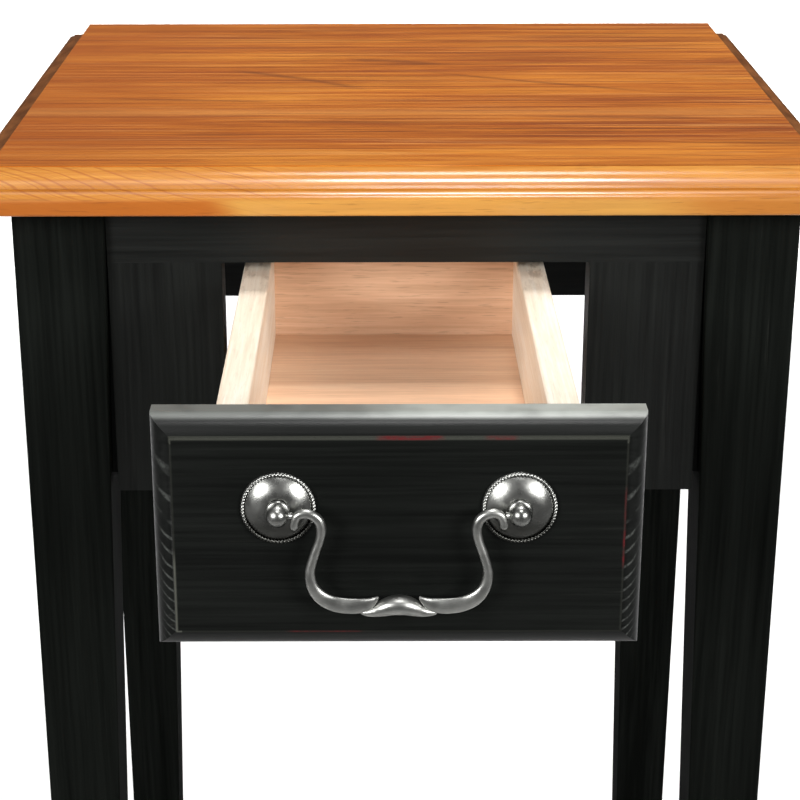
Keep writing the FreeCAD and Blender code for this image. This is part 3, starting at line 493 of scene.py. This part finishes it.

# Brown mottling on the upper edges of the drawer's sides, partly marks and partly painted shade under
# the top, strongest at the rear: its colour, and how far forward and down
MOTTLE_AND_SHADE_BROWN = (0.30, 0.20, 0.11)
MOTTLE_LENGTH = 100.0 * MM
SIDE_TOP_DEPTH = 2.0 * MM


def box_wood(name, axis, seed, tones, contrast=1.0, mottled_from=None):
    """Drawer wood with fine pores and soft bands along axis; its top, near the given rear corner,
    mottled brown, more so towards the rear as painted shade.
    """
    g = Graph(name)
    bands = grain(g, axis, 3.0, 55.0, seed, 0.006, 3.0, 0.55)
    fine = grain(g, axis, 20.0, 700.0, seed + 5, 0.003, 3.0, 0.6)
    dashes = grain(g, axis, 95.0, 1500.0, seed + 8, 0.002, 2.0, 0.5)
    level = g.math("ADD", g.math("MULTIPLY", bands, 0.5), g.math("MULTIPLY", fine, 0.5))
    colour = g.ramp(level, (0.36, tones[0]), (0.51, tones[1]), (0.66, tones[2]))
    dash = g.span(dashes, 0.58, 0.70, 0.0, 0.40 * contrast)
    colour = g.mix(dash, colour, tuple(0.62 * part for part in tones[0]))
    if mottled_from:
        _, y, z = g.split(g.place)
        spots = g.noise(g.stretched((210, 60, 60), (seed, 0, 0)), 4.0, 0.72)
        spots = g.math("MULTIPLY", g.span(spots, 0.48, 0.62), g.math("GREATER_THAN", z, mottled_from.z))
        # Painted shade: the mottling grows towards the rear, where the top shades the drawer's sides
        rear_shade = g.span(y, mottled_from.y - MOTTLE_LENGTH, mottled_from.y, 0.05, 0.75)
        colour = g.mix(g.math("MULTIPLY", spots, rear_shade), colour, MOTTLE_AND_SHADE_BROWN)
    rough = g.span(fine, 0.3, 0.7, 0.50, 0.64)
    normal = g.bump(g.math("ADD", fine, dashes), 0.00008, 0.6)
    return g.set(Base_Color=colour, Roughness=rough, Normal=normal, Specular_IOR_Level=0.30)


# ---- metals and nylon ----

PEWTER_DULL = (0.300, 0.303, 0.288)
PEWTER_BRIGHT = (0.390, 0.392, 0.372)
# Colour of the painted shade on the lower part of the pull, standing in for a dark reflection
PAINTED_SHADE_COLOUR = (0.030, 0.030, 0.026)
TARNISH = (0.060, 0.060, 0.054)
RECESS_DIRT = (0.022, 0.022, 0.019)
RECESS_REACH = 1.3 * MM
# Where the painted shade on the pull begins and is full, above and below the pivot
PAINTED_SHADE_ABOVE = 1.5 * MM
PAINTED_SHADE_BELOW = 7.5 * MM
ZINC_TONES = ((0.42, 0.40, 0.34), (0.60, 0.58, 0.52))
NYLON_TONES = ((0.60, 0.56, 0.48), (0.72, 0.69, 0.61))


def pewter(name, low_rough, shine=1.0, painted_shade=0.0):
    """Antique pewter, dark in its recesses, with painted shade below the pivot's height."""
    g = Graph(name)
    cloud = g.noise(g.stretched((170, 170, 170)), 3.0, 0.5)
    speck = g.noise(g.stretched((1500, 1500, 1500)), 3.0, 0.6)
    dull = tuple(shine * part for part in PEWTER_DULL)
    bright = tuple(shine * part for part in PEWTER_BRIGHT)
    colour = g.ramp(cloud, (0.35, dull), (0.65, bright))
    if painted_shade:
        # Painted shade: darker below the pivot, standing in for a dark reflection in the lower dome
        _, _, z = g.split(g.place)
        shaded_low = g.span(z, PIVOT.z + PAINTED_SHADE_ABOVE, PIVOT.z - PAINTED_SHADE_BELOW, 0.0, painted_shade)
        colour = g.mix(shaded_low, colour, PAINTED_SHADE_COLOUR)
    tarnish = g.span(speck, 0.60, 0.76, 0.0, 0.15)
    colour = g.mix(tarnish, colour, TARNISH)
    corner = g.tree.nodes.new("ShaderNodeAmbientOcclusion")
    corner.samples = 8
    corner.inputs["Distance"].default_value = RECESS_REACH
    recess = g.span(corner.outputs["AO"], 0.25, 0.75, 1.0, 0.0)
    colour = g.mix(recess, colour, RECESS_DIRT)
    rough = g.span(cloud, 0.3, 0.7, low_rough, low_rough + 0.08)
    normal = g.bump(speck, 0.00002, 0.25)
    return g.set(Base_Color=colour, Roughness=rough, Normal=normal, Metallic=1.0)


def zinc():
    """Plated steel of the screws and brads."""
    g = Graph("zinc_plate")
    cloud = g.noise(g.stretched((400, 400, 400)), 3.0)
    colour = g.ramp(cloud, (0.35, ZINC_TONES[0]), (0.65, ZINC_TONES[1]))
    rough = g.span(cloud, 0.3, 0.7, 0.28, 0.42)
    normal = g.bump(cloud, 0.00005, 0.4)
    return g.set(Base_Color=colour, Roughness=rough, Normal=normal, Metallic=1.0)


def nylon():
    """Off-white nylon of the foot glides."""
    g = Graph("glide_nylon")
    cloud = g.noise(g.stretched((300, 300, 300)), 3.0)
    colour = g.ramp(cloud, (0.35, NYLON_TONES[0]), (0.65, NYLON_TONES[1]))
    normal = g.bump(cloud, 0.00006, 0.5)
    return g.set(Base_Color=colour, Roughness=0.5, Normal=normal)


# ---- which node has which finish ----

def names_with(*words):
    """Nodes whose names contain any of the words."""
    return [name for name in nodes if any(word in name for word in words)]


def board_finishes():
    """A lacquer for each board of the top."""
    finishes = {}
    for number, (name, tone) in enumerate(zip(sorted(names_with("top_board")), BOARD_TONES), start=1):
        low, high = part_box(name)
        finishes[name] = lacquered_board(number, low.y, high.y, tone)
    return finishes


def frame_finishes():
    """Paint on the legs, stiles, rails and aprons, and plain wood on what is hidden."""
    upright = black_paint("black_paint_upright", ALONG_Z, 11.0)
    leg_paint = black_paint("black_paint_leg", ALONG_Z, 29.0, gloss=0.002, low_rough=0.60, lift=1.1)
    level_x = black_paint("black_paint_level", ALONG_X, 17.0)
    level_y = black_paint("black_paint_side", ALONG_Y, 23.0)
    hidden = box_wood("hidden_wood", ALONG_Y, 61.0, PLAIN_WOOD)
    finishes = dict.fromkeys(names_with("_leg"), leg_paint)
    finishes.update(dict.fromkeys(names_with("_stile"), upright))
    finishes.update(dict.fromkeys(("front_top_rail", "front_bottom_rail", "rear_apron"), level_x))
    finishes.update(dict.fromkeys(("left_side_apron", "right_side_apron"), level_y))
    finishes.update(dict.fromkeys(names_with("corner_block", "runner", "kicker", "drawer_stop"), hidden))
    return finishes


def drawer_finishes():
    """Paint on the drawer's front, and light woods on its box."""
    pink = box_wood("drawer_back_wood", ALONG_X, 41.0, PINK_WOOD)
    finishes = {
        "drawer_front": drawer_front_paint(),
        "drawer_back": pink,
        "drawer_inner_front": pink,
        "drawer_bottom": box_wood("drawer_bottom_wood", ALONG_X, 47.0, PINK_LIGHT_WOOD, 0.5),
    }
    for name in ("drawer_left_side", "drawer_right_side"):
        rear_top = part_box(name)[1] - Vector((0, 0, SIDE_TOP_DEPTH))
        finishes[name] = box_wood(name + "_wood", ALONG_Y, 53.0, CREAM_WOOD, 0.5, rear_top)
    return finishes


def finish_nodes():
    """Give each CAD node its material. Screws come last: their names hold other parts' names."""
    finishes = board_finishes() | frame_finishes() | drawer_finishes()
    finishes.update(dict.fromkeys(names_with("screw", "brads"), zinc()))
    finishes.update(dict.fromkeys(names_with("foot_glide"), nylon()))
    for name, material in finishes.items():
        nodes[name].data.materials.clear()
        nodes[name].data.materials.append(material)


# ---- meshes ----

def mesh_piece(name, vertices, faces, material, body):
    """A smooth piece that moves with a body and fills a material slot."""
    mesh = bpy.data.meshes.new(name)
    mesh.from_pydata([tuple(vertex) for vertex in vertices], [], faces)
    mesh.validate()
    for polygon in mesh.polygons:
        polygon.use_smooth = True
    piece = bpy.data.objects.new(name, mesh)
    bpy.context.scene.collection.objects.link(piece)
    piece.data.materials.append(material)
    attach(piece, body)
    return piece


def skin_rings(rings, closed=False):
    """Faces round consecutive rings of equal length; open ends are capped with one face each."""
    count = len(rings[0])
    vertices = [point for ring in rings for point in ring]
    faces = []
    spans = len(rings) if closed else len(rings) - 1
    for row in range(spans):
        first = row * count
        second = ((row + 1) % len(rings)) * count
        for column in range(count):
            after = (column + 1) % count
            faces.append((first + column, first + after, second + after, second + column))
    if not closed:
        faces.append(tuple(reversed(range(count))))
        faces.append(tuple(range(len(vertices) - count, len(vertices))))
    return vertices, faces


def join_skins(skins):
    """Several pairs of vertices and faces as one pair."""
    vertices = []
    faces = []
    for points, skin in skins:
        base = len(vertices)
        vertices += points
        faces += [tuple(base + index for index in face) for face in skin]
    return vertices, faces


def smooth_path(points, steps):
    """Points along a Catmull-Rom curve through rows of numbers, steps per span."""
    rows = [points[0]] + list(points) + [points[-1]]
    path = []
    for before, start, end, after in zip(rows, rows[1:], rows[2:], rows[3:]):
        for step in range(steps):
            t = step / steps
            weights = (
                -0.5 * t + t * t - 0.5 * t ** 3,
                1 - 2.5 * t * t + 1.5 * t ** 3,
                0.5 * t + 2 * t * t - 1.5 * t ** 3,
                -0.5 * t * t + 0.5 * t ** 3,
            )
            quad = (before, start, end, after)
            path.append([sum(w * row[i] for w, row in zip(weights, quad)) for i in range(len(start))])
    path.append(list(points[-1]))
    return path


# ---- the bail ----

RING_POINTS = 28
BAR_STEPS = 10
GRIP_STEPS = 8

# Left or right half of the bail, in mm from the ball's centre:
# inward, up, reach from the bail's plane, half width, half depth, how far the front is dished
BAIL_HALF = (
    (6.0, -5.3, 0.0, 0.70, 0.6, 0.0),
    (5.9, -4.4, 0.0, 1.45, 1.2, 0.0),
    (6.0, -2.4, 0.0, 1.60, 1.4, 0.0),
    (7.1, -0.1, 0.0, 1.65, 1.5, 0.0),
    (9.6, 0.8, 0.0, 1.70, 1.5, 0.0),
    (12.4, 0.1, 0.0, 1.80, 1.55, 0.0),
    (14.7, -2.1, 0.0, 1.85, 1.55, 0.0),
    (15.4, -5.6, 0.0, 1.75, 1.5, 0.0),
    (14.6, -9.8, 0.0, 1.65, 1.5, 0.0),
    (12.8, -15.0, 0.0, 1.70, 1.5, 0.0),
    (11.3, -20.6, 0.0, 1.75, 1.45, 0.0),
    (11.5, -25.2, 0.0, 2.00, 1.4, 0.0),
    (13.2, -29.2, 0.0, 2.35, 1.35, 0.0),
    (16.3, -32.3, 0.0, 2.70, 1.3, 0.1),
    (20.5, -34.1, 0.0, 2.95, 1.3, 0.2),
    (25.0, -34.7, 0.1, 3.00, 1.3, 0.2),
    (28.4, -34.6, 0.2, 2.90, 1.25, 0.2),
    (31.0, -34.0, 0.4, 2.60, 1.15, 0.2),
    (33.1, -32.8, 0.6, 1.80, 1.0, 0.1),
    (34.6, -31.6, 0.7, 1.00, 0.8, 0.0),
    (35.4, -30.8, 0.8, 0.35, 0.4, 0.0),
)
# Half the grip, from its tip to its middle: how far from the middle as a share of GRIP_TIP,
# then up, reach, half width, half depth and dish as above
GRIP_TIP = 13.6
GRIP_ROWS = (
    (1.00, -37.3, -0.2, 0.35, 0.35, 0.0),
    (0.95, -37.4, -0.2, 0.85, 0.8, 0.0),
    (0.80, -37.3, 0.0, 1.45, 1.4, 0.0),
    (0.62, -36.7, 0.0, 2.20, 2.1, 0.0),
    (0.42, -35.6, 0.0, 3.00, 3.0, 0.0),
    (0.20, -34.6, 0.0, 3.50, 3.5, 0.0),
    (0.0, -34.3, 0.0, 3.65, 3.65, 0.0),
)
# The pivot pin, in mm: inward from the ball's centre, and radius
PIN_PROFILE = ((0.8, 0.6), (1.1, 1.15), (5.2, 1.15), (5.5, 0.6))


def forged_bar(rows, side, steps=BAR_STEPS):
    """Rings of a flattened, dished bar. Each row: inward, up, reach, half width, half depth, dish."""
    path = smooth_path(rows, steps)
    rings = []
    for index, row in enumerate(path):
        ahead = path[min(index + 1, len(path) - 1)]
        behind = path[max(index - 1, 0)]
        run = Vector((ahead[0] - behind[0], ahead[1] - behind[1])).normalized()
        across = Vector((-run.y, run.x))
        inward, up, reach, width, depth, dish = row
        ring = []
        for turn in range(RING_POINTS):
            angle = 2 * math.pi * turn / RING_POINTS
            sideways = math.cos(angle) * width
            out = math.sin(angle) * depth
            if out > 0:
                out -= dish * depth * (1 - math.cos(angle) ** 4)
            place_x = PIVOT.x + side * (HALF_PULL - (inward + across.x * sideways) * MM)
            place_z = PIVOT.z + (up + across.y * sideways) * MM
            ring.append((place_x, PIVOT.y - (reach + out) * MM, place_z))
        rings.append(ring)
    return rings


def grip_rings():
    """The grip's rows on one side, run out to the other by symmetry."""
    half = [(HALF_PULL / MM - GRIP_TIP * row[0], *row[1:]) for row in GRIP_ROWS]
    mirrored = [(HALF_PULL / MM + GRIP_TIP * row[0], *row[1:]) for row in reversed(GRIP_ROWS[:-1])]
    return forged_bar(half + mirrored, 1, GRIP_STEPS)


def pin_rings(side):
    """The pivot pin from the curled end into the ball."""
    rings = []
    for inward, radius in PIN_PROFILE:
        ring = []
        for turn in range(RING_POINTS):
            angle = -side * 2 * math.pi * turn / RING_POINTS
            offset_y = math.cos(angle) * radius * MM
            offset_z = math.sin(angle) * radius * MM
            place_x = PIVOT.x + side * (HALF_PULL - inward * MM)
            ring.append((place_x, PIVOT.y + offset_y, PIVOT.z + offset_z))
        rings.append(ring)
    return rings


def make_bail(material):
    """The whole forged bail as one piece."""
    ring_sets = [grip_rings()]
    for _, side in SIDES:
        ring_sets += [forged_bar(BAIL_HALF, side), pin_rings(side)]
    vertices, faces = join_skins([skin_rings(rings) for rings in ring_sets])
    bail = mesh_piece("forged_bail", vertices, faces, material, "bail")
    fix_normals(bail)
    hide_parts("bail")


def fix_normals(piece):
    """Turn every face outwards."""
    shape = bmesh.new()
    shape.from_mesh(piece.data)
    bmesh.ops.recalc_face_normals(shape, faces=shape.faces)
    shape.to_mesh(piece.data)
    shape.free()


# ---- rosettes and posts ----

# Turned profiles in mm: radius, and reach in front of the drawer's face
AXIS_RADIUS = 0.02
PLATE_RIM = [(3.2, 0.0), (13.3, 0.0), (13.4, 0.3), (13.1, 0.6), (12.5, 0.7)]
DOME_START = (12.2, 0.8)
DOME_END = (3.4, 4.1)
DOME_BULGE = -0.85
DOME_STEPS = 14
PLATE_BORE = [(3.2, 4.1)]
PLATE_SEGMENTS = 72
POST_SHANK = [(AXIS_RADIUS, 0.0), (3.1, 0.0), (3.1, 4.25)]
POST_COLLAR = [(4.0, 4.35), (4.4, 4.75), (4.45, 5.2), (4.2, 5.65), (3.6, 5.9), (3.0, 5.95)]
POST_SEGMENTS = 48
BALL_RADIUS = 4.15
BALL_START = 142
BALL_STEPS = 18

# The rope round a rosette, in mm, and its section of two lobes that turns along it
ROPE_MIDDLE = 12.72
ROPE_REACH = 1.0
ROPE_RADIUS = 0.88
ROPE_CORE = 0.74
ROPE_LOBES = 2
ROPE_TWISTS = 64
STEPS_PER_TWIST = 6
ROPE_SECTION = 12


def turned_rings(profile, centre, segments):
    """Rings about an axis along -Y through centre, from pairs of radius and reach in mm."""
    rings = []
    for radius, reach in profile:
        ring = []
        for turn in range(segments):
            angle = 2 * math.pi * turn / segments
            across = math.cos(angle) * radius * MM
            up = math.sin(angle) * radius * MM
            ring.append((centre.x + across, centre.y - reach * MM, centre.z + up))
        rings.append(ring)
    return rings


def arc_profile(start, end, bulge, steps):
    """Points from start to end on a parabola that stands bulge off the chord."""
    chord = Vector(end) - Vector(start)
    normal = Vector((-chord.y, chord.x)).normalized()
    points = []
    for step in range(steps + 1):
        t = step / steps
        points.append(tuple(Vector(start) + chord * t + normal * (4 * bulge * t * (1 - t))))
    return points


def rope_rings(centre):
    """A ring of twisted rope: lobes of its section turn as the rope goes round."""
    rings = []
    around = ROPE_TWISTS * STEPS_PER_TWIST
    for step in range(around):
        angle = 2 * math.pi * step / around
        ring = []
        for turn in range(ROPE_SECTION):
            spin = 2 * math.pi * turn / ROPE_SECTION
            lobe = math.cos(ROPE_LOBES * (spin + angle * ROPE_TWISTS / ROPE_LOBES))
            thick = ROPE_RADIUS * (ROPE_CORE + (1 - ROPE_CORE) * lobe)
            radius = (ROPE_MIDDLE + math.cos(spin) * thick) * MM
            reach = (ROPE_REACH + math.sin(spin) * thick) * MM
            across = math.cos(angle) * radius
            up = math.sin(angle) * radius
            ring.append((centre.x + across, centre.y - reach, centre.z + up))
        rings.append(ring)
    return rings


def make_rosette(side_name, side, material):
    """A domed plate with a roped rim."""
    centre = Vector((PIVOT.x + side * HALF_PULL, FACE_Y, PIVOT.z))
    profile = PLATE_RIM + arc_profile(DOME_START, DOME_END, DOME_BULGE, DOME_STEPS) + PLATE_BORE
    plate = skin_rings(turned_rings(profile, centre, PLATE_SEGMENTS), closed=True)
    rope = skin_rings(rope_rings(centre), closed=True)
    vertices, faces = join_skins([plate, rope])
    rosette = mesh_piece(side_name + "_roped_rosette", vertices, faces, material, "drawer")
    fix_normals(rosette)
    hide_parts(side_name + "_rosette")


def make_post(side_name, side, material):
    """The post: a shank through the rosette, a collar on its dome, a short neck and a ball."""
    centre = Vector((PIVOT.x + side * HALF_PULL, FACE_Y, PIVOT.z))
    profile = POST_SHANK + POST_COLLAR
    ball_reach = (FACE_Y - PIVOT.y) / MM
    for step in range(BALL_STEPS + 1):
        angle = math.radians(BALL_START) * (1 - step / BALL_STEPS)
        radius = max(math.sin(angle) * BALL_RADIUS, AXIS_RADIUS)
        profile.append((radius, ball_reach + math.cos(angle) * BALL_RADIUS))
    vertices, faces = skin_rings(turned_rings(profile, centre, POST_SEGMENTS))
    post = mesh_piece(side_name + "_turned_post", vertices, faces, material, "drawer")
    fix_normals(post)
    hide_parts(side_name + "_pull_post")


# ---- stage ----

FLOOR_SIZE = 14.0
FLOOR_GREY = (0.93, 0.93, 0.93)

# World light: two heights of the sky, as the sine of the angle up, and its strength at each
SKY_HEIGHTS = (0.20, 0.90)
SKY_STRENGTHS = (0.08, 0.18)

# Places that the soft boxes in front are aimed at
ABOVE_PULL = (0, -0.38, 0.80)
TABLE_TOP = (0, -0.05, 0.61)


def make_floor():
    """A plain pale floor, wide enough to fill every view."""
    half = FLOOR_SIZE / 2
    mesh = bpy.data.meshes.new("floor")
    corners = [(-half, -half, 0), (half, -half, 0), (half, half, 0), (-half, half, 0)]
    mesh.from_pydata(corners, [], [(0, 1, 2, 3)])
    floor = bpy.data.objects.new("floor", mesh)
    bpy.context.scene.collection.objects.link(floor)
    g = Graph("pale_floor")
    g.set(Base_Color=FLOOR_GREY, Roughness=0.9, Specular_IOR_Level=0.0)
    mesh.materials.append(g.material)


def make_world():
    """Dim room light, stronger overhead."""
    world = bpy.data.worlds.new("studio")
    bpy.context.scene.world = world
    world.use_nodes = True
    tree = world.node_tree
    tree.nodes.clear()
    place = tree.nodes.new("ShaderNodeTexCoord")
    split = tree.nodes.new("ShaderNodeSeparateXYZ")
    level = tree.nodes.new("ShaderNodeMapRange")
    level.interpolation_type = "SMOOTHSTEP"
    for socket, number in zip(level.inputs[1:5], SKY_HEIGHTS + SKY_STRENGTHS):
        socket.default_value = number
    background = tree.nodes.new("ShaderNodeBackground")
    output = tree.nodes.new("ShaderNodeOutputWorld")
    tree.links.new(place.outputs["Generated"], split.inputs[0])
    tree.links.new(split.outputs[2], level.inputs[0])
    tree.links.new(level.outputs[0], background.inputs["Strength"])
    tree.links.new(background.outputs[0], output.inputs[0])


def soft_box(name, place, aim, size, power, spread):
    """A rectangular soft light at place, facing aim, of power watts within spread degrees."""
    light = bpy.data.lights.new(name, "AREA")
    light.shape = "RECTANGLE"
    light.size, light.size_y = size
    light.energy = power
    light.spread = math.radians(spread)
    lamp = bpy.data.objects.new(name, light)
    lamp.location = place
    lamp.rotation_euler = (Vector(aim) - Vector(place)).to_track_quat("-Z", "Y").to_euler()
    bpy.context.scene.collection.objects.link(lamp)


def make_lights():
    """Two soft boxes in front, two over the table, and panels that light the floor behind."""
    make_world()
    for side_name, side in SIDES:
        place = (side * 1.10, -1.65, 1.17)
        soft_box(side_name + "_soft_box", place, ABOVE_PULL, (0.74, 0.74), power=3.2, spread=56)
    soft_box("key_soft_box", (0.10, 0.08, 2.20), (0.10, 0.08, 0), (0.33, 0.40), power=2.7, spread=70)
    soft_box("front_soft_box", (0.10, -1.05, 2.20), TABLE_TOP, (0.40, 0.40), power=0.75, spread=46)
    soft_box("overhead_panel", (0, 1.30, 2.60), (0, 1.30, 0), (2.60, 2.60), power=9, spread=100)
    soft_box("floor_wash", (0, 3.20, 2.60), (0, 3.20, 0), (3.40, 4.40), power=114, spread=80)


def make_camera():
    """The camera, looking down at the table from in front of it, with a shifted lens."""
    data = bpy.data.cameras.new("camera")
    data.sensor_width = SENSOR
    data.lens = LENS
    data.shift_x, data.shift_y = SHIFT
    camera = bpy.data.objects.new("camera", data)
    tilt = Euler((math.radians(90 - CAMERA_PITCH), 0, 0)).to_matrix()
    roll = Matrix.Rotation(math.radians(CAMERA_ROLL), 3, "Z")
    camera.matrix_world = Matrix.Translation(CAMERA_PLACE) @ (tilt @ roll).to_4x4()
    bpy.context.scene.collection.objects.link(camera)
    bpy.context.scene.camera = camera
    bpy.context.scene.view_settings.view_transform = "Standard"


finish_nodes()
# The rosettes' and posts' pewter carries painted shade on its lower part
pull_metal = pewter("antique_pewter", 0.25, shine=1.1, painted_shade=0.88)
make_bail(pewter("worn_pewter", 0.31, shine=1.35))
for side_name, side in SIDES:
    make_rosette(side_name, side, pull_metal)
    make_post(side_name, side, pull_metal)
make_floor()
make_lights()
make_camera()
